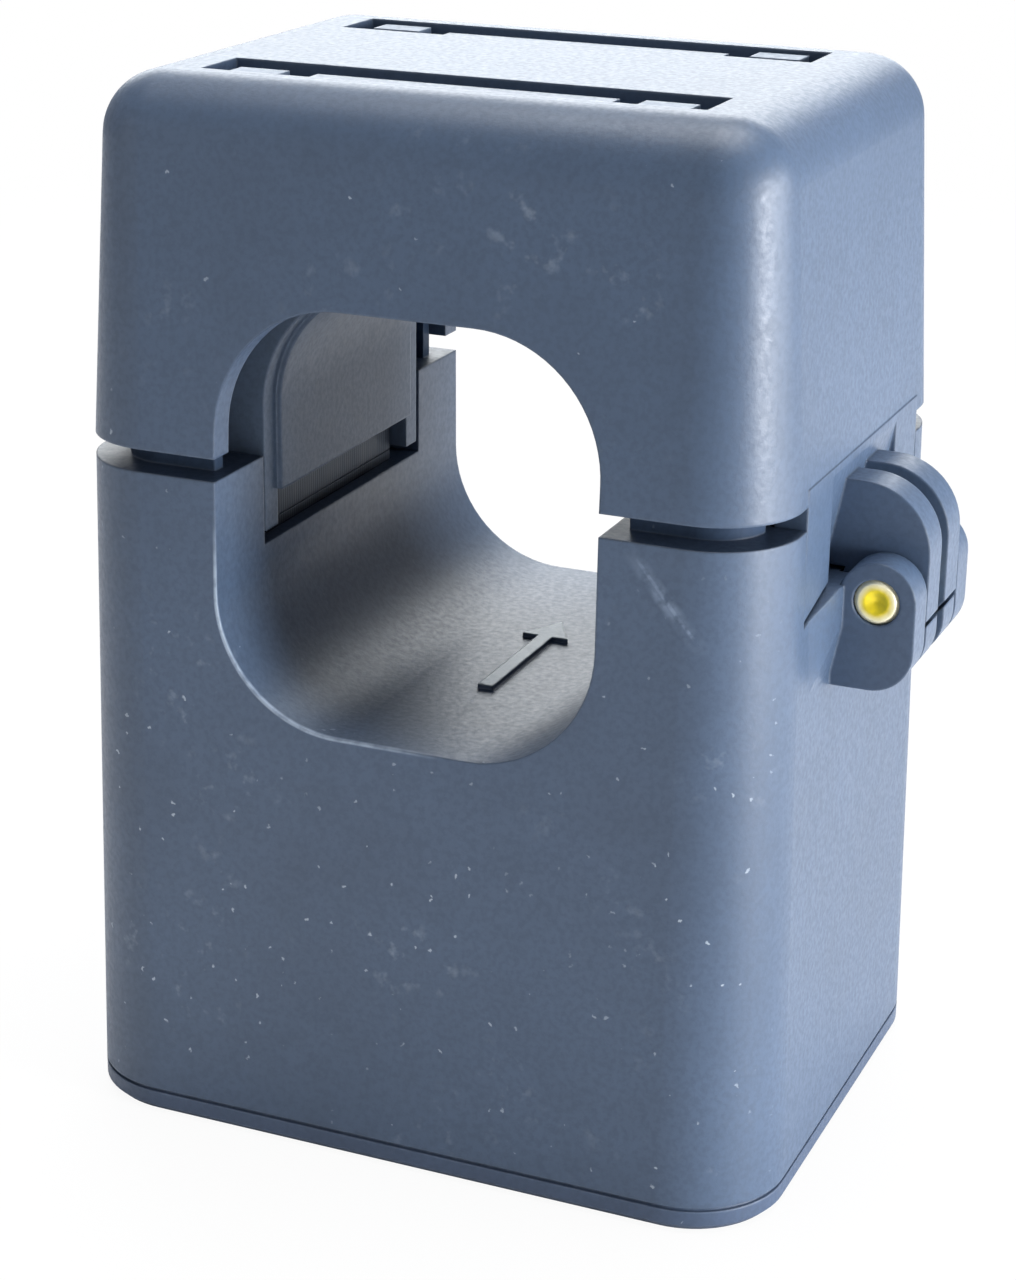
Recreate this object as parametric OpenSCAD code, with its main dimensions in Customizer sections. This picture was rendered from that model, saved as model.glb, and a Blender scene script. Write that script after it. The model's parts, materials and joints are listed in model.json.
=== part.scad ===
/*
Hinged split-core current transformer.

A drafted lower case and a drafted cap close round a rectangular window with rounded corners.
The case holds the lower half of a cut core with the secondary coil on its yoke, and a small
board below the coil. The cap holds the upper half of the core in a sprung holder, and swings
about a brass pin on the +X side.

X runs across the window towards the hinge, Y runs along the conductor, and Z is up.
The origin is the middle of the underside of the base plate. Lengths are in millimetres.
*/

/* [Window] */
// Width of the conductor window
window_w = 24.4; // [18:0.2:30]
// Height of the window
window_h = 25.9; // [22:0.2:32]
// Corner radius of the window
window_r = 8; // [5:0.2:9]
// Thickness of the case wall round the window
channel_wall = 1; // [0.8:0.1:1.2]
// Height of the raised arrow on the window floor
arrow_h = 0.3; // [0.2:0.1:0.8]
// Length of the arrow
arrow_l = 12.8; // [8:0.2:16]
// Distance of the arrow from the middle
arrow_x = 0.6; // [-2:0.1:2]

/* [Body] */
// Height of the parting line above the window floor
parting_rise = 14.9; // [13:0.1:17]
// Height of the open groove between the case and the cap
parting_gap = 1.4; // [0.6:0.1:1.6]
// Thickness of the front and back between the holder's pocket and the outside
front_t = 6.2; // [5:0.1:8]
// Thickness of the sides between the holder's pocket and the outside
side_t = 2.2; // [2:0.1:3]
// Thickness of the outer walls
wall = 1.8; // [1.4:0.1:2]
// Radius of the upright corners at the parting line
corner_r = 5.2; // [4.8:0.1:7]
// Radius along the top edges of the cap
top_edge_r = 3.9; // [2:0.1:4]
// Inward lean of the cap walls over their height
cap_lean = 1.3; // [0.4:0.1:1.3]
// Outward lean of the case walls over their height
case_lean = 0.8; // [0.2:0.1:1.5]

/* [Base] */
// Thickness of the base plate
plate_t = 1.7; // [1.2:0.1:2.4]
// Bevel round the lower edge of the base plate
plate_bevel = 0.5; // [0.2:0.1:0.8]
// Height of the fence that locates the base plate in the case
fence_h = 2; // [1:0.2:3]
// Thickness of the fence
fence_t = 1.2; // [0.8:0.1:1.6]

/* [Core] */
// Width of the core's legs and yokes
core_t = 6; // [4:0.2:7]
// Depth of the core along the conductor
core_d = 18; // [12:0.5:22]
// Height of the pole faces above the window floor
pole_rise = 9.8; // [9:0.1:10.6]
// Inner corner radius of the lower core
core_inner_r = 1.5; // [0.5:0.1:2]
// Air gap between the pole faces
pole_gap = 0.05; // [0.03:0.01:0.2]

/* [Holder] */
// Thickness of the two side plates of the core holder
holder_side_t = 1.6; // [1:0.1:2]
// How far the liner stands into the window
liner_proud = 0.3; // [0.1:0.1:0.5]
// Height of the liner's lower edge above the pole faces
liner_rise = 2.5; // [1:0.1:4]
// Distance the sprung holder moves out of the cap when the cap opens
float_travel = 0.5; // [0.2:0.1:0.6]
// Width of a hook at the top of the holder
hook_w = 3.2; // [2:0.2:4.2]
// Distance of the hooks' tops below the top of the cap
hook_drop = 0.2; // [0.1:0.05:0.4]

/* [Spring] */
// Room for the leaf spring between the core and the cap's roof
spring_room = 3.2; // [2:0.1:5]
// Thickness of the leaf spring
spring_t = 0.4; // [0.2:0.05:0.6]
// Width of the leaf spring
spring_w = 11; // [6:0.5:14]
// Length of the leaf spring
spring_l = 26; // [20:0.5:30]

/* [Cap top] */
// Thickness of the cap's roof
roof_t = 2; // [1.8:0.1:2.4]
// Distance of the long recesses' ends from the holder's outer sides
slot_end_inset = 4.2; // [3:0.1:6]
// Width of the recesses
slot_w = 4.4; // [3.6:0.1:4.8]
// Depth of the recesses
slot_depth = 1.2; // [1:0.1:1.4]
// Length of the opening at each end of a recess
slot_hole_l = 5.2; // [4.8:0.1:6]
// Width of the rib along the middle of a recess
slot_rib_w = 1.4; // [0.8:0.1:2]

/* [Hinge] */
// Distance from the body's side to the middle of the pin
pin_offset = 2.8; // [2.7:0.1:3.4]
// Distance of the pin's middle below the case's rim
pin_drop = 5.6; // [5:0.1:7]
// Diameter of the brass pin
pin_d = 2.8; // [2:0.1:3]
// Radius of the knuckles round the pin
knuckle_r = 2.4; // [2.2:0.1:2.7]
// Full width of the hinge along the pin
hinge_w = 12; // [11:0.5:15]
// Angle through which the cap opens
open_angle = 70; // [45:5:90]
// Thickness of the outer hinge lugs on the case
lug_t = 2.4; // [2:0.1:3]
// Distance from the pin down to the lugs' lower edge
lug_drop = 5.5; // [4:0.1:8]
// Radius of the lugs' lower outer corner
lug_foot_r = 2.6; // [1:0.1:3]
// Width of the groove between the two cap ears
ear_groove = 1.6; // [1:0.1:2]
// Distance from the pin up to the top of the cap ears
ear_rise = 6.5; // [5:0.1:8]
// Radius of the cap ears' upper outer corner
ear_top_r = 4.2; // [2:0.1:5]
// Width of the apron that carries the cap ears
apron_w = 22.6; // [20:0.2:23]
// Distance from the pin up to the apron's lower edge beside the ears
apron_rise = 1.1; // [0.8:0.1:1.6]
// Depth of the hollow in the apron behind the ears
apron_hollow = 1.2; // [0.4:0.1:1.2]
// How far the pad below the apron stands off the side
pad_proud = 0.8; // [0.5:0.1:1]

/* [Latch] */
// Width of the snap tongue
tongue_w = 10; // [6:0.5:12]
// Length of the snap tongue below the cap's rim
tongue_l = 10.5; // [9:0.5:12]
// Thickness of the snap tongue
tongue_t = 1; // [0.8:0.1:1.1]
// Width of the window in the tongue
tongue_slot_w = 5.6; // [3:0.2:7]
// Height of the bar across the tongue's end
tongue_bar_h = 3.2; // [2:0.1:4]
// How far the thumb ridge stands off the side
thumb_proud = 0.8; // [0.4:0.1:1.2]
// Height of the catch on the case
catch_proud = 0.4; // [0.2:0.1:0.45]

/* [Coil] */
// Wall thickness of the bobbin
bobbin_t = 0.8; // [0.6:0.1:1]
// Thickness of the bobbin's end flanges
flange_t = 1; // [0.8:0.1:1.2]
// Build-up of the secondary winding
winding_t = 2.2; // [1:0.1:3]
// Thickness of the tape round the winding
tape_t = 0.2; // [0.1:0.05:0.3]
// Room between the coil and the window channel
coil_room = 3.4; // [1:0.1:6]
// Height of the rails that hold the terminal pins
rail_h = 1.2; // [0.8:0.1:2]
// Width of the rails
rail_w = 2.2; // [1.6:0.1:3]
// Diameter of the bobbin's terminal pins
terminal_d = 0.8; // [0.6:0.05:1]
// Distance of the terminal pins from the core's front and back
terminal_inset = 3; // [2:0.1:5]

/* [Board] */
// Height of the board above the base plate
board_stand = 3; // [2.4:0.1:5]
// Thickness of the board
board_t = 1.2; // [0.8:0.1:1.6]
// Distance from the terminal pins to the board's ends
board_end = 4.4; // [2:0.1:5]
// Distance from the terminal pins to the board's long edges
board_edge = 4.5; // [2:0.1:6]
// Room between the board and the bobbin's rails
parts_room = 3.3; // [3:0.1:5]
// Length of the burden resistor
resistor_l = 6.4; // [4:0.1:8]
// Diameter of the burden resistor
resistor_d = 2.3; // [1.6:0.1:2.8]
// Length of a clamp diode
diode_l = 4; // [3:0.1:5]
// Diameter of a clamp diode
diode_d = 1.9; // [1.4:0.1:2.6]
// Distance between the rows of parts
part_pitch = 4; // [3:0.1:5]
// Length of a part's lead before it bends down
lead_l = 1.9; // [1:0.1:3]
// Diameter of the parts' leads
lead_d = 0.6; // [0.4:0.05:0.8]

/* [Lead outlet] */
// Bore of the grommet, for a two-core lead
outlet_bore_d = 3.6; // [3:0.1:4.2]
// Diameter of the hole in the case for the grommet
outlet_hole_d = 6; // [5.4:0.1:7]
// Height of the outlet above the base plate
outlet_rise = 6.3; // [5:0.1:10]
// Thickness of the grommet's rims
grommet_rim = 1.1; // [0.6:0.1:1.6]
// How far the rims reach past the hole
grommet_lap = 1.2; // [0.6:0.1:2]

/* [Clearances] */
// Gap between fixed parts that slide together
fit_gap = 0.1; // [0.05:0.01:0.15]
// Gap between parts that move past each other
moving_gap = 0.3; // [0.2:0.05:0.4]
// Gap behind the snap tongue, which tilts as the cap swings
latch_gap = 0.45; // [0.4:0.05:0.5]
// Gap round the pin in the fixed lugs
pin_seat_gap = 0.02; // [0.01:0.01:0.05]
// Gap round the pin in the moving ears
pin_run_gap = 0.06; // [0.03:0.01:0.1]
// Gap between the layers of the coil
layer_gap = 0.02; // [0.01:0.01:0.05]

/* [Hidden] */
$fn = 64;
eps = 0.01;

body_color = [0.20, 0.24, 0.30];
holder_color = [0.14, 0.16, 0.20];
steel_color = [0.42, 0.43, 0.45];
brass_color = [0.86, 0.68, 0.22];
copper_color = [0.72, 0.38, 0.18];
tape_color = [0.85, 0.72, 0.20];
bobbin_color = [0.88, 0.87, 0.82];
board_color = [0.10, 0.38, 0.18];
resistor_color = [0.32, 0.52, 0.70];
diode_color = [0.12, 0.12, 0.13];
tin_color = [0.75, 0.75, 0.76];
rubber_color = [0.07, 0.07, 0.08];

// Heights, from the base plate up through the board and the coil to the window
board_z = plate_t + board_stand;
board_top_z = board_z + board_t;
tube_h = core_t + 2 * fit_gap + 2 * bobbin_t;
tube_w = core_d + 2 * fit_gap + 2 * bobbin_t;
flange_rise = winding_t + tape_t + moving_gap;
rail_z = board_top_z + parts_room;
flange_foot_z = rail_z + rail_h;
yoke_mid_z = flange_foot_z + flange_rise + tube_h / 2;
yoke_z = yoke_mid_z - core_t / 2;
window_z = yoke_mid_z + tube_h / 2 + flange_rise + coil_room + channel_wall;
window_top = window_z + window_h;
parting_z = window_z + parting_rise;
case_h = parting_z - plate_t;
cap_z = parting_z + parting_gap;
pole_z = window_z + pole_rise;

// Core and holder, measured outwards from the window
leg_in_x = window_w / 2 + channel_wall + fit_gap;
leg_out_x = leg_in_x + core_t;
core_grow = leg_in_x - window_w / 2;
core_top_z = window_top + core_grow + core_t;
liner_y = core_d / 2 + 4 * fit_gap;
holder_y = liner_y + holder_side_t;
holder_grow = core_grow + core_t + 6 * fit_gap;
holder_out_x = window_w / 2 + holder_grow;
liner_foot_z = pole_z + liner_rise;
holder_foot_z = pole_z + 2 * fit_gap;

// Pocket in the case that takes the holder's legs
pocket_x = holder_out_x + moving_gap + fit_gap;
pocket_y = holder_y + moving_gap;
pocket_z = pole_z - 2 * moving_gap;
deck_t = 1.2;
deck_z = pocket_z - deck_t;

// Outside of the body
side_x = pocket_x + side_t;
body_w = 2 * side_x;
body_d = 2 * (pocket_y + front_t);
inner_x = side_x - wall;
inner_y = body_d / 2 - wall;
roof_z = core_top_z + spring_room;
body_h = roof_z + roof_t;
cap_h = body_h - cap_z;
seam_step = 0.25;

// Locating lip on top of the case
lip_rise = 1.1;
lip_h = parting_gap + lip_rise;
lip_t = 1;
lip_inset = wall + moving_gap;

// Recesses in the top and the hooks in them
slot_y = liner_y;
slot_l = 2 * (holder_out_x - slot_end_inset);
slot_floor_z = body_h - slot_depth;
hook_x = slot_l / 2 - moving_gap - slot_hole_l / 2;
hook_t = holder_side_t - 4 * fit_gap;
hook_nose = 0.8;
hook_top_z = body_h - hook_drop;
hook_y = holder_y - hook_t;
hook_z = slot_floor_z + float_travel + fit_gap / 2;

// Hinge
pin_x = side_x + pin_offset;
pin_z = parting_z - pin_drop;
lug_in_y = hinge_w / 2 - lug_t;
ear_in_y = ear_groove / 2;
ear_out_y = lug_in_y - 2 * fit_gap;
seat_out_y = lug_in_y - 4 * fit_gap;
knuckle_x = pin_x + knuckle_r;
ear_r = knuckle_r / cos(open_angle / 2);
seat_r = ear_r + 2 * fit_gap;
lug_foot_z = pin_z - lug_drop;
ear_top_z = pin_z + ear_rise;
apron_in_x = holder_out_x + 2 * moving_gap;
apron_mid_z = pin_z + apron_rise;
pad_foot_z = lug_foot_z - 2 * fit_gap;
pad_x = side_x + pad_proud;

// Latch on the side away from the hinge
tongue_z = cap_z - tongue_l;
tongue_in_x = side_x - tongue_t;
recess_x = tongue_in_x - latch_gap;
catch_z = tongue_z + tongue_bar_h + moving_gap;

// Coil on the lower yoke
coil_x = leg_in_x - core_inner_r - fit_gap;
terminal_x = coil_x - rail_w / 2;
terminal_y = core_d / 2 - terminal_inset;
board_l = 2 * (terminal_x + board_end);
board_w = 2 * (terminal_y + board_edge);

// Lead outlet at the back
outlet_z = plate_t + outlet_rise;
outlet_y = body_d / 2 + case_lean * (1 - (outlet_z - plate_t) / case_h);
grommet_d = outlet_hole_d + 2 * grommet_lap;

// ---------- outlines and blocks ----------

// Upright section of a corner: leans in by lean over h, with a rounded top edge
module wall_profile(r, h, lean, top_r) {
    a = atan(lean / h);
    cx = r - top_r / cos(a) - (h - top_r) * tan(a);
    intersection() {
        square([r + abs(lean) + 1, h]);
        union() {
            polygon([
                [0, 0], [r, 0], [cx + top_r * cos(a), h - top_r + top_r * sin(a)],
                [cx, h - top_r], [cx, h], [0, h]
            ]);
            if (top_r > 0) translate([cx, h - top_r]) circle(r = top_r);
        }
    }
}

// Drafted block with turned corners and straight sides, standing on z = 0
module soft_block(w, d, h, r, lean = 0, top_r = 0) {
    sx = w / 2 - r;
    sy = d / 2 - r;
    for (i = [0 : 3]) {
        cx = (i == 0 || i == 3) ? sx : -sx;
        cy = (i < 2) ? sy : -sy;
        translate([cx, cy, 0]) rotate([0, 0, 90 * i])
            rotate_extrude(angle = 90) wall_profile(r, h, lean, top_r);
    }
    for (a = [0, 180]) rotate([0, 0, a]) translate([sx, 0, 0]) rotate([90, 0, 0])
        linear_extrude(2 * sy, center = true) wall_profile(r, h, lean, top_r);
    for (a = [90, 270]) rotate([0, 0, a]) translate([sy, 0, 0]) rotate([90, 0, 0])
        linear_extrude(2 * sx, center = true) wall_profile(r, h, lean, top_r);
    translate([-sx, -sy, 0]) cube([2 * sx, 2 * sy, h]);
}

// Rectangle with round corners, centred in x, from z0 to z1
module round_outline(w, z0, z1, r) {
    for (x = [-1, 1], z = [z0 + r, z1 - r]) translate([x * (w / 2 - r), z]) circle(r = r);
    translate([-w / 2, z0 + r]) square([w, z1 - z0 - 2 * r]);
    translate([-w / 2 + r, z0]) square([w - 2 * r, z1 - z0]);
}

// The window's outline, grown outwards by grow
module window_outline(grow) {
    round_outline(window_w + 2 * grow, window_z - grow, window_top + grow, window_r + grow);
}

// Draws an x-z outline out along y, from y0 to y1
module along_y(y0, y1) {
    translate([0, y1, 0]) rotate([90, 0, 0]) linear_extrude(y1 - y0) children();
}

// The same outline on both sides of the middle, from y0 to y1 and from -y1 to -y0
module both_y(y0, y1) {
    along_y(y0, y1) children();
    along_y(-y1, -y0) children();
}

// Draws a y-z outline out along x, from x0 to x1
module along_x(x0, x1) {
    translate([x0, 0, 0]) rotate([90, 0, 90]) linear_extrude(x1 - x0) children();
}

// Box given by its lowest and highest corners
module block(lo, hi) {
    translate(lo) cube(hi - lo);
}

// The same box at each end of x
module both_x(lo, hi) {
    block(lo, hi);
    mirror([1, 0, 0]) block(lo, hi);
}

// The same box in each quarter
module four_way(lo, hi) {
    both_x(lo, hi);
    mirror([0, 1, 0]) both_x(lo, hi);
}

// ---------- case ----------

module case_cavity() {
    half_w = body_w + 2 * (case_lean - wall);
    half_d = body_d + 2 * (case_lean - wall);
    lean = case_lean * (deck_z - plate_t) / case_h;
    translate([0, 0, plate_t - eps])
        soft_block(half_w, half_d, deck_z - plate_t + eps, corner_r + case_lean - wall, lean);
    // cores out the columns beside the pockets
    four_way([leg_in_x, pocket_y + deck_t, deck_z - 1],
             [inner_x - 1, inner_y - 2 * fit_gap, parting_z - wall]);
}

// Strip that stands up inside the rim at each corner and locates the cap
module locating_lip() {
    difference() {
        translate([0, 0, parting_z - 1])
            soft_block(body_w - 2 * lip_inset, body_d - 2 * lip_inset, lip_h + 1, corner_r - lip_inset);
        translate([0, 0, parting_z - 2])
            soft_block(body_w - 2 * (lip_inset + lip_t), body_d - 2 * (lip_inset + lip_t),
                       lip_h + 3, corner_r - lip_inset - lip_t);
        block([-side_x, -pocket_y - deck_t, parting_z - 3], [side_x, pocket_y + deck_t, body_h]);
        block([-leg_in_x, -body_d, parting_z - 3], [leg_in_x, body_d, body_h]);
    }
}

// Arrow on the window floor that points the way of the primary current
module polarity_arrow() {
    shaft = 0.5;
    head = 1.6;
    neck_y = arrow_l / 2 - 2 * head + shaft / 2;
    translate([arrow_x, 0, window_z - eps]) linear_extrude(arrow_h + eps) polygon([
        [-shaft, -arrow_l / 2], [shaft, -arrow_l / 2], [shaft, neck_y], [head, neck_y],
        [0, arrow_l / 2], [-head, neck_y], [-shaft, neck_y]
    ]);
}

// Side view of a case lug: round top about the pin, round lower outer corner
module lug_outline() {
    root_x = inner_x + 1;
    translate([pin_x, pin_z]) circle(r = knuckle_r);
    translate([root_x, lug_foot_z + lug_foot_r]) square([knuckle_x - root_x, lug_drop - lug_foot_r]);
    translate([root_x, lug_foot_z]) square([knuckle_x - root_x - lug_foot_r, lug_foot_r + eps]);
    translate([knuckle_x - lug_foot_r, lug_foot_z + lug_foot_r]) circle(r = lug_foot_r);
}

// Side view of the seat under a cap ear, hollowed to clear the ear as it turns
module seat_outline() {
    difference() {
        lug_outline();
        translate([inner_x, pin_z]) square([2 * knuckle_r + pin_offset + wall, knuckle_r + 1]);
        translate([pin_x, pin_z]) circle(r = seat_r);
    }
}

// Side view of the apron along y, grown sideways and at its foot: the foot rises towards the ears
module apron_face(grow, drop) {
    half = apron_w / 2 + grow;
    flat = hinge_w / 2 + 2 * moving_gap;
    polygon([
        [-half, apron_mid_z - apron_rise - drop], [-flat, apron_mid_z - drop], [flat, apron_mid_z - drop],
        [half, apron_mid_z - apron_rise - drop], [half, body_h], [-half, body_h]
    ]);
}

// Pad that swells out of the case's side below the apron and carries the lugs
module hinge_pad() {
    half = apron_w / 2;
    flat = hinge_w / 2 + 2 * fit_gap;
    root = side_x - wall / 2;
    fade = 4;
    intersection() {
        translate([0, 0, pad_foot_z]) linear_extrude(apron_mid_z - pad_foot_z) polygon([
            [root, -half], [side_x, -half], [pad_x, -flat], [pad_x, flat], [side_x, half], [root, half]
        ]);
        along_y(-half, half) polygon([
            [root, pad_foot_z], [side_x, pad_foot_z], [pad_x, pad_foot_z + fade],
            [pad_x, apron_mid_z], [root, apron_mid_z]
        ]);
    }
}

// The case without its lugs, seats and latch
module case_body() {
    difference() {
        union() {
            translate([0, 0, plate_t])
                soft_block(body_w + 2 * case_lean, body_d + 2 * case_lean, case_h, corner_r + case_lean,
                           case_lean);
            locating_lip();
            hinge_pad();
        }
        difference() {
            case_cavity();
            along_y(-body_d, body_d) window_outline(channel_wall);
        }
        along_y(-body_d, body_d) window_outline(0);
        // pockets for the holder's legs, open to the window and at the top
        both_x([window_w / 2 - 1, -pocket_y, pocket_z], [pocket_x, pocket_y, body_h]);
        // openings in the pocket floors for the poles
        both_x([leg_in_x - fit_gap, -core_d / 2 - fit_gap, deck_z - 1],
               [leg_out_x + fit_gap, core_d / 2 + fit_gap, body_h]);
        // side opening that the cap's apron closes
        along_x(pocket_x - eps, knuckle_x) apron_face(fit_gap, moving_gap);
        // hollow in which the cap's ears turn
        along_y(-lug_in_y, lug_in_y) translate([pin_x, pin_z]) circle(r = seat_r);
        // recess for the snap tongue
        block([-knuckle_x, -tongue_w / 2 - moving_gap, tongue_z - deck_t],
              [-recess_x, tongue_w / 2 + moving_gap, body_h]);
        // lead outlet
        along_y(inner_y - 2, body_d) translate([0, outlet_z]) circle(d = outlet_hole_d);
    }
}

// Backing behind the tongue's recess, and the catch on it
module latch_seat() {
    half = tongue_w / 2 + deck_t;
    block([-recess_x - eps, -half, tongue_z - 2], [1 - recess_x, half, deck_z + eps]);
    translate([-recess_x, 0, 0]) along_y(-tongue_slot_w / 2 + moving_gap, tongue_slot_w / 2 - moving_gap)
        polygon([
            [eps, catch_z], [-catch_proud, catch_z], [-catch_proud, catch_z + 0.6], [eps, catch_z + 2.4]
        ]);
}

module case_shell() color(body_color) {
    difference() {
        union() {
            case_body();
            both_y(lug_in_y, hinge_w / 2) lug_outline();
            both_y(ear_in_y, seat_out_y) seat_outline();
        }
        along_y(-hinge_w, hinge_w) translate([pin_x, pin_z]) circle(d = pin_d + 2 * pin_seat_gap);
    }
    polarity_arrow();
    latch_seat();
}

module base_plate() color(body_color) {
    foot_w = body_w + 2 * case_lean;
    foot_d = body_d + 2 * case_lean;
    foot_r = corner_r + case_lean;
    in_w = foot_w - 2 * (wall + fit_gap);
    in_d = foot_d - 2 * (wall + fit_gap);
    in_r = foot_r - wall - fit_gap;
    // plate with a bevel below and a shadow step under the case
    soft_block(foot_w - 2 * plate_bevel, foot_d - 2 * plate_bevel, plate_bevel, foot_r - plate_bevel,
               -plate_bevel);
    translate([0, 0, plate_bevel]) soft_block(foot_w, foot_d, plate_t - plate_bevel - seam_step, foot_r);
    translate([0, 0, plate_t - seam_step - eps])
        soft_block(foot_w - 2 * seam_step, foot_d - 2 * seam_step, seam_step + eps, foot_r - seam_step);
    // fence
    translate([0, 0, plate_t - eps]) difference() {
        soft_block(in_w, in_d, fence_h, in_r);
        translate([0, 0, -1])
            soft_block(in_w - 2 * fence_t, in_d - 2 * fence_t, fence_h + 2, in_r - fence_t);
    }
    // posts under the board
    post_r = 1.6;
    for (x = [-1, 1], y = [-1, 1])
        translate([x * (board_l / 2 - 2), y * (board_w / 2 - 2), plate_t - eps])
            cylinder(r = post_r, h = board_z - plate_t + eps);
    // cradles under the round corners of the lower core
    difference() {
        both_x([leg_out_x - 4, -6, plate_t - eps], [leg_out_x - 1.4, 6, yoke_mid_z]);
        along_y(-body_d, body_d)
            round_outline(2 * leg_out_x + fit_gap, yoke_z - fit_gap / 2, body_h, core_inner_r + core_t);
    }
}

// ---------- core ----------

module lower_core() color(steel_color) along_y(-core_d / 2, core_d / 2) difference() {
    round_outline(2 * leg_out_x, yoke_z, body_h, core_inner_r + core_t);
    round_outline(2 * leg_in_x, yoke_z + core_t, body_h + 1, core_inner_r);
    translate([-body_w, pole_z]) square([2 * body_w, body_h]);
}

module upper_core() color(steel_color) along_y(-core_d / 2, core_d / 2) difference() {
    window_outline(core_grow + core_t);
    window_outline(core_grow);
    translate([-body_w, 0]) square([2 * body_w, pole_z + pole_gap]);
}

// ---------- coil on the lower yoke ----------

// y-z section of the bobbin tube, grown outwards
module coil_section(grow) {
    round_outline(tube_w + 2 * grow, yoke_mid_z - tube_h / 2 - grow, yoke_mid_z + tube_h / 2 + grow,
                  max(grow, 0.3));
}

module bobbin() color(bobbin_color) difference() {
    union() {
        along_x(-coil_x, coil_x) coil_section(0);
        for (x = [-coil_x, coil_x - flange_t]) along_x(x, x + flange_t) coil_section(flange_rise);
        both_x([coil_x - rail_w, -terminal_y - 2, rail_z], [coil_x, terminal_y + 2, flange_foot_z + eps]);
    }
    along_x(-coil_x - 1, coil_x + 1) translate([-core_d / 2 - fit_gap, yoke_z - fit_gap])
        square([core_d + 2 * fit_gap, core_t + 2 * fit_gap]);
    terminal_holes(rail_z - 1, rail_z + rail_h);
}

module terminal_holes(z0, z1) {
    for (x = [-1, 1], y = [-1, 1]) translate([x * terminal_x, y * terminal_y, z0])
        cylinder(d = terminal_d, h = z1 - z0);
}

module winding() color(copper_color) {
    reach = coil_x - flange_t - fit_gap;
    along_x(-reach, reach) difference() {
        coil_section(winding_t);
        coil_section(layer_gap);
    }
}

module winding_tape() color(tape_color) {
    reach = coil_x - flange_t - 2 * fit_gap;
    along_x(-reach, reach) difference() {
        coil_section(winding_t + tape_t);
        coil_section(winding_t + layer_gap);
    }
}

module terminal_pins() color(tin_color) {
    z0 = board_z - 0.8;
    for (x = [-1, 1], y = [-1, 1]) translate([x * terminal_x, y * terminal_y, z0])
        cylinder(d = terminal_d, h = rail_z + rail_h - z0);
}

// ---------- board ----------

// Part with a round body along x and two leads bent down into the board
module axial_part(y, body_len, body_dia) {
    mid_z = board_top_z + body_dia / 2 + moving_gap;
    span = body_len / 2 + lead_l;
    translate([-body_len / 2, y, mid_z]) rotate([0, 90, 0]) cylinder(d = body_dia, h = body_len);
    translate([-span, y, mid_z]) rotate([0, 90, 0]) cylinder(d = lead_d, h = 2 * span);
    for (x = [-span, span]) {
        translate([x, y, board_top_z]) cylinder(d = lead_d, h = mid_z - board_top_z);
        translate([x, y, mid_z]) sphere(d = lead_d);
    }
}

module circuit_board() color(board_color) difference() {
    block([-board_l / 2, -board_w / 2, board_z], [board_l / 2, board_w / 2, board_top_z]);
    for (x = [-1, 1], y = [-1, 1]) translate([x * terminal_x, y * terminal_y, 0])
        cylinder(d = terminal_d + 2 * fit_gap, h = board_top_z + 1);
}

module burden_resistor() color(resistor_color) axial_part(part_pitch, resistor_l, resistor_d);

module clamp_diodes() color(diode_color) {
    axial_part(0, diode_l, diode_d);
    axial_part(-part_pitch, diode_l, diode_d);
}

module lead_grommet() color(rubber_color) difference() {
    inner_y0 = outlet_y - wall - grommet_rim;
    union() {
        along_y(inner_y0, outlet_y + grommet_rim) translate([0, outlet_z]) circle(d = outlet_hole_d);
        along_y(inner_y0, outlet_y - wall - fit_gap) translate([0, outlet_z]) circle(d = grommet_d);
        along_y(outlet_y + fit_gap, outlet_y + fit_gap + grommet_rim)
            translate([0, outlet_z]) circle(d = grommet_d);
    }
    along_y(inner_y - 4, body_d) translate([0, outlet_z]) circle(d = outlet_bore_d);
}

// ---------- hinge pin ----------

module hinge_pin() color(brass_color) {
    r = pin_d / 2;
    half = hinge_w / 2;
    edge = 0.25;
    dimple_r = 0.7;
    dimple = 0.25;
    translate([pin_x, 0, pin_z]) rotate([90, 0, 0]) rotate_extrude() polygon([
        [0, -half + dimple], [dimple_r, -half], [r - edge, -half], [r, -half + edge],
        [r, half - edge], [r - edge, half], [dimple_r, half], [0, half - dimple]
    ]);
}

// ---------- cap ----------

// Side view of a cap ear: round about the pin below, quarter round above
module ear_outline() {
    shoulder_z = ear_top_z - ear_top_r;
    root_x = side_x - wall;
    intersection() {
        translate([pin_x, pin_z]) circle(r = ear_r);
        translate([root_x, pin_z - ear_r]) square([knuckle_x - root_x, 2 * ear_r]);
    }
    translate([root_x, apron_mid_z]) square([knuckle_x - root_x, shoulder_z - apron_mid_z + eps]);
    translate([root_x, shoulder_z]) square([knuckle_x - ear_top_r - root_x, ear_top_r]);
    intersection() {
        translate([knuckle_x - ear_top_r, shoulder_z]) circle(r = ear_top_r);
        translate([root_x, shoulder_z]) square([knuckle_x, ear_top_r + 1]);
    }
}

// Apron that hangs from the cap's side and closes the side opening of the case
module apron() {
    intersection() {
        along_x(apron_in_x, side_x) apron_face(0, 0);
        block([apron_in_x, -apron_w / 2, parting_z - tongue_l], [side_x, apron_w / 2, cap_z + 1]);
    }
}

// Sloping hollow in the apron behind the ears
module apron_slope() {
    reach = hinge_w / 2 + 2 * moving_gap;
    foot_z = pin_z - knuckle_r;
    hollow_x = side_x - apron_hollow;
    along_y(-reach, reach) polygon([
        [side_x, ear_top_z + 1], [hollow_x, apron_mid_z], [hollow_x, foot_z],
        [knuckle_x, foot_z], [knuckle_x, ear_top_z + 1]
    ]);
}

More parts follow.
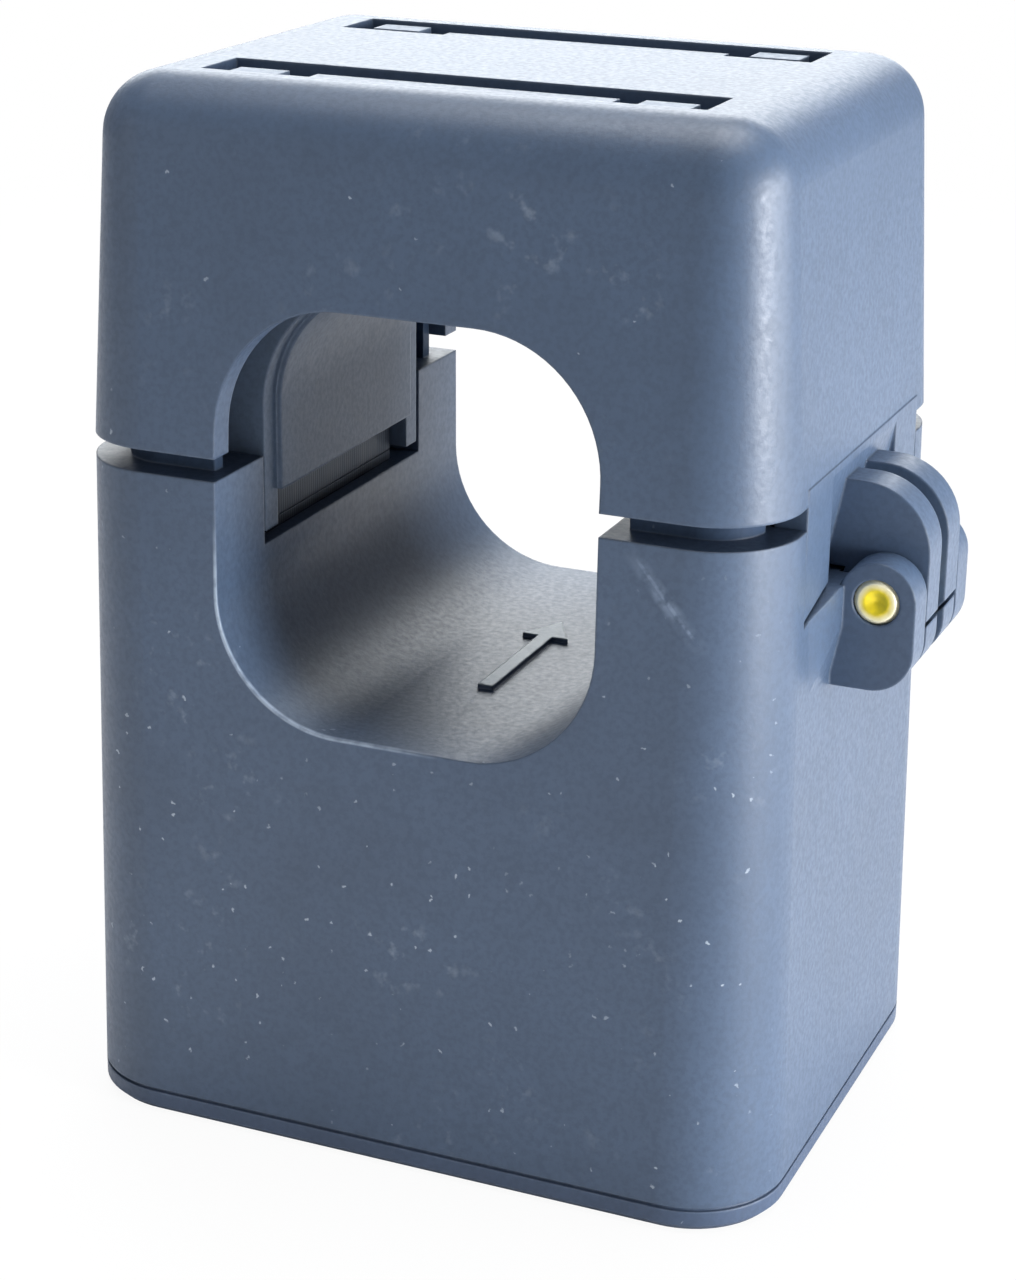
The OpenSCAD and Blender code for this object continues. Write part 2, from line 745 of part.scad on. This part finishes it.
// Long recess in the top with an opening at each end and a rib between them
module top_recess() {
    half_l = slot_l / 2;
    rib_half_l = half_l - slot_hole_l - 1;
    difference() {
        block([-half_l, slot_y - slot_w / 2, slot_floor_z], [half_l, slot_y + slot_w / 2, body_h + 1]);
        block([-rib_half_l, slot_y - slot_rib_w / 2, slot_floor_z - 1],
              [rib_half_l, slot_y + slot_rib_w / 2, body_h - 0.3]);
    }
    // openings for the hooks, whose noses come to rest on the floor beside them
    both_x([hook_x - slot_hole_l / 2, hook_y - moving_gap, roof_z - 1],
           [hook_x + slot_hole_l / 2, holder_y + 2 * fit_gap, body_h]);
}

// Rib that guides the holder between the cap's long walls
module guide_ribs() {
    rib_x = leg_out_x - 2.4;
    rib_t = 1.2;
    rib_z = parting_z + lip_h + 1.5;
    four_way([rib_x, holder_y + 2 * fit_gap, rib_z], [rib_x + rib_t, inner_y, roof_z + eps]);
}

module snap_tongue() {
    half = tongue_w / 2;
    slot = tongue_slot_w / 2;
    ridge_x = side_x + thumb_proud;
    bar_in_x = tongue_in_x + catch_proud;
    bar_top_z = tongue_z + tongue_bar_h;
    difference() {
        block([-side_x, -half, tongue_z], [-tongue_in_x, half, cap_z + 1]);
        block([-side_x - 1, -slot, tongue_z - 1], [-tongue_in_x + 1, slot, catch_z + 3.2]);
    }
    // thumb bar, bowed outwards past the catch
    along_y(-half, half) polygon([
        [-bar_in_x, tongue_z], [-side_x, tongue_z], [-ridge_x, tongue_z + tongue_bar_h / 4],
        [-ridge_x, tongue_z + tongue_bar_h / 2], [-side_x, bar_top_z], [-bar_in_x, bar_top_z]
    ]);
}

module cap_shell() color(body_color) difference() {
    union() {
        difference() {
            union() {
                translate([0, 0, cap_z])
                    soft_block(body_w, body_d, cap_h, corner_r, cap_lean, top_edge_r);
                apron();
            }
            cavity_h = roof_z - cap_z;
            translate([0, 0, cap_z - eps])
                soft_block(body_w - 2 * wall, body_d - 2 * wall, cavity_h, corner_r - wall,
                           cap_lean * cavity_h / cap_h, top_edge_r - wall);
            apron_slope();
            // clears the lugs, which stay still as the apron swings
            along_y(-hinge_w / 2 - moving_gap, hinge_w / 2 + moving_gap)
                translate([pin_x, pin_z]) circle(r = knuckle_r + moving_gap);
        }
        guide_ribs();
        snap_tongue();
        both_y(ear_in_y, ear_out_y) ear_outline();
    }
    along_y(-body_d, body_d) window_outline(0);
    top_recess();
    mirror([0, 1, 0]) top_recess();
    along_y(-hinge_w, hinge_w) translate([pin_x, pin_z]) circle(d = pin_d + 2 * pin_run_gap);
}

module core_spring() color(steel_color) {
    half = spring_l / 2;
    bow = roof_z - core_top_z - spring_t - fit_gap;
    bend_r = (half * half + bow * bow) / (2 * bow);
    low_z = core_top_z + fit_gap / 2;
    intersection() {
        along_y(-spring_w / 2, spring_w / 2) translate([0, low_z + spring_t + bend_r]) difference() {
            circle(r = bend_r + spring_t, $fn = 200);
            circle(r = bend_r, $fn = 200);
        }
        block([-half, -spring_w, low_z - 1], [half, spring_w, roof_z]);
    }
}

module core_holder() color(holder_color) {
    // liner along the window, between the side plates
    along_y(-liner_y - eps, liner_y + eps) difference() {
        window_outline(core_grow - fit_gap);
        window_outline(-liner_proud);
        translate([-body_w, 0]) square([2 * body_w, liner_foot_z]);
    }
    // side plates
    both_y(liner_y, holder_y) difference() {
        window_outline(holder_grow);
        window_outline(fit_gap / 2);
        translate([-body_w, 0]) square([2 * body_w, holder_foot_z]);
    }
    // outer walls beside the legs of the core
    along_y(-liner_y - eps, liner_y + eps) difference() {
        window_outline(holder_grow);
        window_outline(core_grow + core_t + fit_gap);
        translate([-body_w, 0]) square([2 * body_w, holder_foot_z]);
        translate([-body_w, window_top - 6]) square([2 * body_w, body_h]);
    }
    // hooks that hold the holder in the cap
    x0 = hook_x - hook_w / 2;
    x1 = hook_x + hook_w / 2;
    four_way([x0, hook_y, window_top], [x1, holder_y, hook_top_z]);
    four_way([x0, hook_y - hook_nose, hook_z], [x1, hook_y + eps, hook_top_z]);
}

case_shell();
base_plate();
lower_core();
bobbin();
winding();
winding_tape();
terminal_pins();
circuit_board();
burden_resistor();
clamp_diodes();
lead_grommet();
hinge_pin();
cap_shell();
core_holder();
upper_core();
core_spring();
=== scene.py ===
import json
import math

import bpy
from mathutils import Matrix, Vector


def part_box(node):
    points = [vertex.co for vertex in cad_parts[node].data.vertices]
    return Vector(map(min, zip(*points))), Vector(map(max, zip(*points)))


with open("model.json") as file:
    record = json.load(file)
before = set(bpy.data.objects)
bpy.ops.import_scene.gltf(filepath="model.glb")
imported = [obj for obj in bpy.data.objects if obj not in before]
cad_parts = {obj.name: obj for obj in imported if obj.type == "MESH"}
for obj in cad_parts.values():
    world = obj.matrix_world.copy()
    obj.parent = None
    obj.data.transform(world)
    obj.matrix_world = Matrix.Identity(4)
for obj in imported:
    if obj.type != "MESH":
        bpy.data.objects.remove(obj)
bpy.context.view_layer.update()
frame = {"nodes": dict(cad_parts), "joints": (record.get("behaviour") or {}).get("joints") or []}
nodes = frame["nodes"]


# ---------- measures, in metres ----------

# From the frame
front_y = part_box("cap_shell")[0][1]
hinge = next(j for j in frame["joints"] if j["name"] == "cap_hinge")
pin_x, _, pin_z = hinge["pos_m"]

# As in the part's source: the parting line, the arrow's top and the window's outline
parting_z = 0.0429
arrow_z = 0.0283
window_half_x, window_half_z, window_mid_z, window_r = 0.0122, 0.01295, 0.04095, 0.008

# The arrow lies within this far of the middle
arrow_reach_x, arrow_reach_y = 0.003, 0.0075

# About the middle of the part, where the camera and most lamps aim
middle = (0, 0, 0.033)

# The wear on the window's rim fades out over these x and z
rim_fade_x, rim_fade_z = (-0.002, 0.003), (0.037, 0.041)

# Scratches on the front face: their (x, z) ends, half width and strength
front_scratches = [
    ((0.0145, 0.0420), (0.0186, 0.0371), 0.00014, 0.7),
    ((0.0138, 0.0427), (0.0188, 0.0368), 0.0006, 0.55),
    ((0.0182, 0.0374), (0.0190, 0.0368), 0.0003, 0.5),
]

# ---------- colours, as sRGB in 0..255 ----------

body_rgb = (65, 82, 106)
base_rgb = (60, 76, 101)
holder_rgb = (88, 104, 126)
steel_rgb = (58, 66, 78)
gap_shade_rgb = (26, 34, 50)
# Painted shade: the dark colour laid on the case's rim and lip for the shade in the groove between cap
# and case
dust_rgb = (176, 187, 200)
worn_rim_rgb = (168, 184, 204)
worn_arrow_rgb = (150, 164, 172)
tinned_rgb = (190, 190, 192)
bare_board_rgb = (176, 164, 110)


def tint(rgb, factor=1.0):
    """An sRGB colour in 0..255 as a linear colour."""
    linear = [(c / 255 / 12.92 if c <= 10 else ((c / 255 + 0.055) / 1.055) ** 2.4) for c in rgb]
    return tuple(min(1.0, c * factor) for c in linear) + (1.0,)


def paler(rgb, by):
    """The same colour with every channel raised by a number of steps."""
    return tint([min(255, c + by) for c in rgb])


# ---------- building node trees ----------

class Tree:
    """A material and short calls for its nodes; every coordinate is the object's own, in metres."""

    def __init__(self, name):
        self.material = bpy.data.materials.new(name)
        self.material.use_nodes = True
        self.nodes = self.material.node_tree.nodes
        self.links = self.material.node_tree.links
        self.shader = self.nodes["Principled BSDF"]
        self.place = self.nodes.new("ShaderNodeTexCoord").outputs["Object"]

    def put(self, socket, value):
        if isinstance(value, bpy.types.NodeSocket):
            self.links.new(value, socket)
        elif value is not None:
            socket.default_value = value

    def new(self, kind, values=(), **settings):
        made = self.nodes.new("ShaderNode" + kind)
        for key, value in settings.items():
            setattr(made, key, value)
        for key, value in dict(values).items():
            self.put(made.inputs[key], value)
        return made

    def math(self, operation, a, b=None, clamp=False):
        return self.new("Math", {0: a, 1: b}, operation=operation, use_clamp=clamp).outputs[0]

    def plus(self, a, b, clamp=False):
        return self.math("ADD", a, b, clamp)

    def minus(self, a, b):
        return self.math("SUBTRACT", a, b)

    def times(self, first, *others):
        for other in others:
            first = self.math("MULTIPLY", first, other)
        return first

    def absolute(self, a):
        return self.math("ABSOLUTE", a)

    def hypotenuse(self, a, b):
        return self.math("SQRT", self.plus(self.times(a, a), self.times(b, b)))

    def sawtooth(self, along, pitch):
        """0 to 1 over each pitch; the metre added keeps the number positive."""
        return self.math("FRACT", self.math("DIVIDE", self.plus(along, 1.0), pitch))

    def ramp(self, value, low, high, to_low=0.0, to_high=1.0):
        made = self.new("MapRange", {"Value": value, "From Min": low, "From Max": high,
                                     "To Min": to_low, "To Max": to_high})
        return made.outputs["Result"]

    def fall(self, value, low, high, to=0.0):
        """1 up to low, then down to the last value at high."""
        return self.ramp(value, low, high, 1.0, to)

    def noise(self, scale, detail=2.0, rough=0.5, place=None):
        made = self.new("TexNoise", {"Vector": place or self.place, "Scale": scale, "Detail": detail,
                                     "Roughness": rough})
        return made.outputs["Fac"]

    def mix(self, factor, a, b):
        made = self.new("Mix", data_type="RGBA", clamp_factor=True)
        self.put(made.inputs["Factor"], factor)
        self.put(made.inputs[6], a)
        self.put(made.inputs[7], b)
        return made.outputs[2]

    def shade(self, value, rgb, dark, light, low=0.3, high=0.7):
        """A colour from a darker to a lighter share of itself, as the value goes from low to high."""
        return self.mix(self.ramp(value, low, high), tint(rgb, dark), tint(rgb, light))

    def stretched(self, sx, sy, sz):
        return self.new("Mapping", {"Vector": self.place, "Scale": (sx, sy, sz)}).outputs["Vector"]

    def axes(self):
        return self.new("SeparateXYZ", {"Vector": self.place}).outputs

    def bump(self, height, distance, strength, normal=None):
        made = self.new("Bump", {"Height": height, "Distance": distance, "Strength": strength,
                                 "Normal": normal})
        return made.outputs["Normal"]

    def round_edges(self, radius):
        """The rounded-edge normal, and how close a point is to an edge, from 0 to 1."""
        bevel = self.new("Bevel", {"Radius": radius}, samples=6).outputs["Normal"]
        plain = self.new("NewGeometry").outputs["Normal"]
        agree = self.new("VectorMath", {0: bevel, 1: plain}, operation="DOT_PRODUCT").outputs["Value"]
        return bevel, self.ramp(agree, 0.995, 0.86)

    def finish(self, colour, rough, normal):
        self.put(self.shader.inputs["Base Color"], colour)
        self.put(self.shader.inputs["Roughness"], rough)
        self.put(self.shader.inputs["Normal"], normal)
        return self.material


# ---------- where marks and wear lie ----------

def segment_mask(t, start, end, width):
    """1 along a thin stroke on the front face, between two (x, z) points in metres."""
    x, y, z = t.axes()
    length = math.dist(start, end)
    ux, uz = (end[0] - start[0]) / length, (end[1] - start[1]) / length
    dx, dz = t.minus(x, start[0]), t.minus(z, start[1])
    across = t.absolute(t.minus(t.times(dx, uz), t.times(dz, ux)))
    along = t.plus(t.times(dx, ux), t.times(dz, uz))
    taper = width * 6
    thin = t.fall(across, width * 0.4, width)
    inside = t.times(t.ramp(along, 0.0, taper), t.fall(along, length - taper, length))
    front = t.math("LESS_THAN", y, front_y + 0.002)
    return t.times(thin, inside, front)


def window_edge(t, width):
    """1 in a band of the given width on both sides of the window's outline, low on its left."""
    x, y, z = t.axes()
    dx = t.minus(t.absolute(x), window_half_x - window_r)
    dz = t.minus(t.absolute(t.minus(z, window_mid_z)), window_half_z - window_r)
    corner = t.hypotenuse(t.math("MAXIMUM", dx, 0.0), t.math("MAXIMUM", dz, 0.0))
    inner = t.math("MINIMUM", t.math("MAXIMUM", dx, dz), 0.0)
    outside = t.minus(t.plus(corner, inner), window_r)
    band = t.fall(t.absolute(outside), width * 0.5, width)
    side = t.times(t.fall(x, *rim_fade_x), t.fall(z, *rim_fade_z))
    front = t.fall(y, front_y - 0.0001, front_y + 0.0001)
    return t.times(band, side, front)


def arrow_top(t):
    """1 on the raised arrow's top face."""
    x, y, z = t.axes()
    level = t.math("LESS_THAN", t.absolute(t.minus(z, arrow_z)), 0.00005)
    near_x = t.math("LESS_THAN", t.absolute(x), arrow_reach_x)
    near_y = t.math("LESS_THAN", t.absolute(y), arrow_reach_y)
    return t.times(level, t.times(near_x, near_y))


def specks(t, scale, share, size):
    """Scattered small irregular dots: share of the cells that hold one, size as a share of a cell."""
    stir = t.new("TexNoise", {"Vector": t.place, "Scale": 2500.0, "Detail": 2.0}).outputs["Color"]
    stirred = t.new("VectorMath", {0: stir, 1: (0.0006, 0.0006, 0.0006), 2: t.place},
                    operation="MULTIPLY_ADD").outputs["Vector"]
    cells = t.new("TexVoronoi", {"Vector": stirred, "Scale": scale, "Randomness": 1.0})
    chance = t.new("SeparateColor", {"Color": cells.outputs["Color"]}).outputs[0]
    chosen = t.math("GREATER_THAN", chance, 1 - share)
    return t.times(chosen, t.fall(cells.outputs["Distance"], size * 0.6, size))


def dust_spots(t, share, top):
    """Patchy specks and faint smudges, most on the front face, and fewer above the height top."""
    spots = t.plus(specks(t, 640, share, 0.1), specks(t, 1200, share * 1.6, 0.16), clamp=True)
    smudge = t.times(t.ramp(t.noise(800, 3, 0.6), 0.6, 0.75), t.ramp(t.noise(110, 2), 0.5, 0.65), 0.3)
    spots = t.math("MAXIMUM", spots, smudge)
    _, y, z = t.axes()
    patches = t.ramp(t.noise(90, 2), 0.38, 0.6, 0.25, 1.0)
    spots = t.times(spots, t.fall(y, front_y + 0.001, front_y + 0.004, 0.12), patches)
    if top is not None:
        spots = t.times(spots, t.fall(z, top - 0.004, top, 0.4))
    return spots


# ---------- materials ----------

def moulded_plastic(name, rgb, rough=0.44, edge=0.3, dust=0.0, dust_top=None, scratches=(),
                    gap_shade_above=None, rim_wear=0.0):
    """Fine-grained plastic with rubbed edges, and as asked with scratches, wear, dust and painted shade
    on the rim and lip above a height.
    """
    t = Tree(name)
    bevel, near_edge = t.round_edges(0.00022)
    mottle = t.noise(420, 4, 0.6)
    fine = t.noise(2600, 3, 0.6)
    colour = t.shade(t.noise(55, 3), rgb, 0.93, 1.07, 0.35, 0.65)
    colour = t.mix(t.ramp(mottle, 0.35, 0.7, 0.0, 0.2), colour, tint(rgb, 1.4))
    colour = t.mix(t.ramp(fine, 0.42, 0.62, 0.0, 0.35), colour, tint(rgb, 0.68))
    roughness = t.ramp(fine, 0.3, 0.7, rough - 0.05, rough + 0.07)
    pale = paler(rgb, 58)
    worn = t.times(near_edge, t.ramp(t.noise(900, 3, 0.7), 0.35, 0.65, 0.25, 1.0), edge)
    colour = t.mix(worn, colour, pale)
    for start, end, width, strength in scratches:
        broken = t.ramp(t.noise(1500, 3), 0.32, 0.6)
        mark = t.times(segment_mask(t, start, end, width), broken, strength)
        colour = t.mix(mark, colour, pale)
    if rim_wear:
        broken = t.ramp(t.noise(1300, 3), 0.3, 0.55, 0.35, 1.0)
        colour = t.mix(t.times(window_edge(t, 0.0002), broken, rim_wear), colour, tint(worn_rim_rgb))
        colour = t.mix(t.times(arrow_top(t), 0.7), colour, tint(worn_arrow_rgb))
    if dust:
        spots = dust_spots(t, dust, dust_top)
        colour = t.mix(t.times(spots, 0.7), colour, tint(dust_rgb))
        roughness = t.plus(roughness, t.times(spots, 0.3), clamp=True)
    # Painted shade in the groove between cap and case: from 0.1 mm below the given height up, the colour
    # darkens towards the shade colour, and above it the specular level drops
    if gap_shade_above is not None:
        z = t.axes()[2]
        colour = t.mix(t.ramp(z, gap_shade_above - 0.0001, gap_shade_above, 0.0, 0.45), colour, tint(gap_shade_rgb))
        shine = t.ramp(z, gap_shade_above, gap_shade_above + 0.0001, 0.5, 0.0625)
        t.put(t.shader.inputs["Specular IOR Level"], shine)
    height = t.plus(t.times(fine, 0.75), t.times(mottle, 0.25))
    return t.finish(colour, roughness, t.bump(height, 0.00004, 0.5, bevel))


def laminated_steel(name, rgb):
    """A stack of thin varnished sheets: fine lines across the stack, which lies along y."""
    t = Tree(name)
    bevel, near_edge = t.round_edges(0.00012)
    layer = t.sawtooth(t.axes()[1], 0.0003)
    gap = t.ramp(t.absolute(t.minus(layer, 0.5)), 0.32, 0.48)
    rub = t.noise(1, 3, 0.6, t.stretched(300, 3000, 300))
    colour = t.shade(rub, rgb, 0.75, 1.25)
    colour = t.mix(t.times(gap, 0.65), colour, tint(rgb, 0.3))
    colour = t.mix(t.times(near_edge, 0.4), colour, paler(rgb, 60))
    t.shader.inputs["Metallic"].default_value = 0.6
    normal = t.bump(t.minus(1.0, gap), 0.00004, 0.5, bevel)
    return t.finish(colour, t.ramp(rub, 0.3, 0.7, 0.4, 0.6), normal)


def bright_metal(name, rgb, rough, brush=(900, 900, 60)):
    """Metal with fine lines along the axis where brush, the noise's scale on each axis, is lowest."""
    t = Tree(name)
    bevel, near_edge = t.round_edges(0.0001)
    lines = t.noise(1, 3, 0.6, t.stretched(*brush))
    colour = t.shade(lines, rgb, 0.85, 1.15)
    colour = t.mix(t.ramp(t.noise(500, 3), 0.45, 0.75, 0.0, 0.35), colour, tint(rgb, 0.7))
    colour = t.mix(t.times(near_edge, 0.5), colour, tint(rgb, 1.2))
    t.shader.inputs["Metallic"].default_value = 1.0
    roughness = t.ramp(lines, 0.3, 0.7, rough - 0.05, rough + 0.1)
    return t.finish(colour, roughness, t.bump(lines, 0.00002, 0.4, bevel))


def pin_brass(name, rgb, rim_rgb):
    """Turned brass whose end faces are rubbed pale outside a yellower middle."""
    t = Tree(name)
    bevel, _ = t.round_edges(0.0002)
    x, _, z = t.axes()
    out = t.hypotenuse(t.minus(x, pin_x), t.minus(z, pin_z))
    cloud = t.noise(1500, 3)
    rim = t.ramp(t.plus(out, t.times(cloud, 0.0003)), 0.0009, 0.0013)
    colour = t.shade(cloud, rgb, 0.85, 1.15, 0.35)
    colour = t.mix(t.times(rim, 0.85), colour, tint(rim_rgb))
    t.shader.inputs["Metallic"].default_value = 0.35
    t.shader.inputs["Specular IOR Level"].default_value = 0.8
    return t.finish(colour, 0.38, t.bump(cloud, 0.00002, 0.3, bevel))


def wound_wire(name, rgb, pitch):
    """Turns of enamelled wire side by side along x."""
    t = Tree(name)
    turn = t.minus(t.sawtooth(t.axes()[0], pitch), 0.5)
    crown = t.math("SQRT", t.minus(0.26, t.times(turn, turn)))
    colour = t.shade(t.noise(260, 3), rgb, 0.8, 1.2)
    # Painted shade: each turn darkens towards the valley between it and the next
    colour = t.mix(t.ramp(crown, 0.12, 0.36, 0.75, 0.0), colour, tint(rgb, 0.2))
    t.shader.inputs["Metallic"].default_value = 0.75
    t.shader.inputs["Coat Weight"].default_value = 0.5
    return t.finish(colour, 0.32, t.bump(crown, pitch * 0.5, 0.9))


def film_tape(name, rgb):
    """Glossy film wound along x, with a darker line at each overlap."""
    t = Tree(name)
    wrinkle = t.noise(1, 3, 0.6, t.stretched(900, 150, 150))
    lap = t.fall(t.sawtooth(t.axes()[0], 0.006), 0.0, 0.05)
    colour = t.shade(wrinkle, rgb, 0.85, 1.1)
    colour = t.mix(t.times(lap, 0.5), colour, tint(rgb, 0.5))
    t.shader.inputs["Coat Weight"].default_value = 0.4
    height = t.minus(t.times(wrinkle, 0.5), lap)
    return t.finish(colour, t.ramp(wrinkle, 0.3, 0.7, 0.25, 0.4), t.bump(height, 0.00005, 0.6))


def solder_mask(name, rgb):
    """Lacquered board with a faint weave and bare edges."""
    t = Tree(name)
    bevel, near_edge = t.round_edges(0.0001)
    weave = t.new("TexBrick", {"Vector": t.place, "Scale": 900.0, "Mortar Size": 0.03}).outputs["Fac"]
    cloud = t.noise(200, 3)
    colour = t.shade(cloud, rgb, 0.85, 1.15)
    colour = t.mix(t.times(weave, 0.25), colour, tint(rgb, 1.6))
    colour = t.mix(t.times(near_edge, 0.7), colour, tint(bare_board_rgb))
    t.shader.inputs["Coat Weight"].default_value = 0.3
    return t.finish(colour, t.ramp(cloud, 0.3, 0.7, 0.25, 0.38), t.bump(cloud, 0.00003, 0.4, bevel))


def lacquered_body(name, rgb, lead_x):
    """An axial part: a lacquered body, and tinned leads further out along x than lead_x."""
    t = Tree(name)
    bevel, _ = t.round_edges(0.00015)
    lead = t.math("GREATER_THAN", t.absolute(t.axes()[0]), lead_x)
    cloud = t.noise(800, 3)
    colour = t.mix(lead, t.shade(cloud, rgb, 0.85, 1.15), tint(tinned_rgb))
    t.put(t.shader.inputs["Metallic"], lead)
    return t.finish(colour, t.ramp(cloud, 0.3, 0.7, 0.25, 0.4), t.bump(cloud, 0.00004, 0.4, bevel))


def soft_rubber(name, rgb):
    """Dull rubber with a pale bloom."""
    t = Tree(name)
    bevel, near_edge = t.round_edges(0.0004)
    fine = t.noise(3200, 3, 0.6)
    bloom = t.noise(240, 4, 0.6)
    colour = t.mix(t.ramp(bloom, 0.4, 0.75, 0.0, 0.5), tint(rgb), paler(rgb, 34))
    colour = t.mix(t.times(near_edge, 0.25), colour, paler(rgb, 50))
    return t.finish(colour, t.ramp(fine, 0.3, 0.7, 0.62, 0.78), t.bump(fine, 0.00006, 0.5, bevel))


dressed = {
    # The case's rim and lip above the parting line carry painted shade
    "case_shell": moulded_plastic("case_moulding", body_rgb, dust=0.12, dust_top=0.036,
                                  scratches=front_scratches, gap_shade_above=parting_z, rim_wear=0.75),
    "cap_shell": moulded_plastic("cap_moulding", body_rgb, dust=0.015, edge=0.15),
    "base_plate": moulded_plastic("base_moulding", base_rgb, dust=0.03, edge=0.5),
    "core_holder": moulded_plastic("holder_moulding", holder_rgb, rough=0.5, dust=0.01),
    "bobbin": moulded_plastic("bobbin_moulding", (222, 218, 204), rough=0.4, edge=0.15),
    "lower_core": laminated_steel("lower_core_steel", steel_rgb),
    "upper_core": laminated_steel("upper_core_steel", steel_rgb),
    "core_spring": bright_metal("spring_strip", (176, 178, 182), 0.25, brush=(60, 1600, 1600)),
    "hinge_pin": pin_brass("turned_brass", (236, 212, 20), (255, 250, 226)),
    "terminal_pins": bright_metal("tinned_pins", (196, 197, 200), 0.3),
    "winding": wound_wire("secondary_wire", (196, 104, 52), 0.00022),
    "winding_tape": film_tape("polyester_tape", (214, 176, 58)),
    "circuit_board": solder_mask("board_mask", (28, 96, 52)),
    "burden_resistor": lacquered_body("resistor_lacquer", (108, 152, 190), 0.0032),
    "clamp_diodes": lacquered_body("diode_epoxy", (34, 34, 37), 0.002),
    "lead_grommet": soft_rubber("grommet_moulding", (30, 31, 34)),
}
for name, material in dressed.items():
    mesh = nodes[name].data
    if not mesh.materials:
        mesh.materials.append(material)
    for i in range(len(mesh.materials)):
        mesh.materials[i] = material

# ---------- camera, as fitted to the photo ----------

yaw, pitch, roll = math.radians(22.864), math.radians(20.151), math.radians(-0.762)
distance = 0.183633
slide_right, slide_down = -0.00059, 0.003692
lens_mm, sensor_mm = 80.5711, 36

back = Vector((math.sin(yaw) * math.cos(pitch), -math.cos(yaw) * math.cos(pitch), math.sin(pitch)))
level_right = (-back).cross(Vector((0, 0, 1))).normalized()
level_down = (-back).cross(level_right)
right = level_right * math.cos(roll) + level_down * math.sin(roll)
down = level_down * math.cos(roll) - level_right * math.sin(roll)

camera_data = bpy.data.cameras.new("camera")
camera_data.sensor_width = sensor_mm
camera_data.lens = lens_mm
camera_data.clip_start = 0.01
camera = bpy.data.objects.new("camera", camera_data)
stand = Vector(middle) + back * distance + right * slide_right + down * slide_down
camera.matrix_world = Matrix.Translation(stand) @ Matrix((right, -down, back)).transposed().to_4x4()
bpy.context.scene.collection.objects.link(camera)
bpy.context.scene.camera = camera


# ---------- lamps ----------

def softbox(name, place, size, watts, target=middle, colour=(1, 1, 1)):
    """A large soft lamp at a place, aimed at a target; the camera itself doesn't see it."""
    data = bpy.data.lights.new(name, "AREA")
    data.shape = "RECTANGLE"
    data.size, data.size_y = size
    data.energy = watts
    data.color = colour
    lamp = bpy.data.objects.new(name, data)
    lamp.location = place
    lamp.rotation_euler = (Vector(target) - Vector(place)).to_track_quat("-Z", "Y").to_euler()
    lamp.visible_camera = False
    bpy.context.scene.collection.objects.link(lamp)


softbox("key_right", (0.36, 0.05, 0.07), (0.26, 0.20), 1.5)
softbox("low_right", (0.29, -0.07, 0.045), (0.06, 0.08), 0.85)
softbox("glare_back", (-0.20, 0.46, 0.24), (0.50, 0.24), 2.1, target=(0, 0, 0.06), colour=(0.94, 0.98, 1))
softbox("top_soft", (0.0, 0.05, 0.45), (0.3, 0.3), 2.1)
softbox("fill_left", (-0.34, -0.34, 0.16), (0.3, 0.3), 0.25)

# ---------- background ----------

# The world is white to the camera, and dimmer in reflections and as light
mirrored_strength, light_strength = 0.45, 0.15

world = bpy.data.worlds.new("studio")
bpy.context.scene.world = world
world.use_nodes = True
tree = world.node_tree
path = tree.nodes.new("ShaderNodeLightPath")
unseen = tree.nodes.new("ShaderNodeMapRange")
unseen.inputs["To Min"].default_value = light_strength
unseen.inputs["To Max"].default_value = mirrored_strength
strength = tree.nodes.new("ShaderNodeMath")
strength.operation = "MAXIMUM"
background = tree.nodes["Background"]
background.inputs["Color"].default_value = (1, 1, 1, 1)
tree.links.new(path.outputs["Is Glossy Ray"], unseen.inputs["Value"])
tree.links.new(path.outputs["Is Camera Ray"], strength.inputs[0])
tree.links.new(unseen.outputs["Result"], strength.inputs[1])
tree.links.new(strength.outputs[0], background.inputs["Strength"])


# ---------- floor ----------

def floor_paper():
    """Pale paper with a trace of the object's shadow near it, white to the camera further out."""
    t = Tree("floor_paper")
    colour = t.mix(t.ramp(t.noise(40, 2), 0.3, 0.7), (0.86, 0.86, 0.87, 1), (0.89, 0.89, 0.9, 1))
    t.finish(colour, 0.9, t.bump(t.noise(1500, 2), 0.00005, 0.2))
    glow = t.new("Emission", {"Color": (1, 1, 1, 1), "Strength": 1.0})
    far = t.new("VectorMath", {0: t.place}, operation="LENGTH").outputs["Value"]
    camera_ray = t.new("LightPath").outputs["Is Camera Ray"]
    share = t.times(camera_ray, t.ramp(far, 0.1, 0.3, 0.93, 1.0))
    blend = t.new("MixShader", {0: share, 1: t.shader.outputs[0], 2: glow.outputs[0]})
    t.put(t.nodes["Material Output"].inputs["Surface"], blend.outputs[0])
    return t.material


# A square this far out to each side, a hair below the part
floor_half = 4
floor_gap = 0.00002
floor_data = bpy.data.meshes.new("floor")
floor_corners = [(x * floor_half, y * floor_half, 0) for x, y in ((-1, -1), (1, -1), (1, 1), (-1, 1))]
floor_data.from_pydata(floor_corners, [], [(0, 1, 2, 3)])
floor_data.materials.append(floor_paper())
floor = bpy.data.objects.new("floor", floor_data)
floor.location.z = -floor_gap
bpy.context.scene.collection.objects.link(floor)

bpy.context.scene.view_settings.view_transform = "Standard"
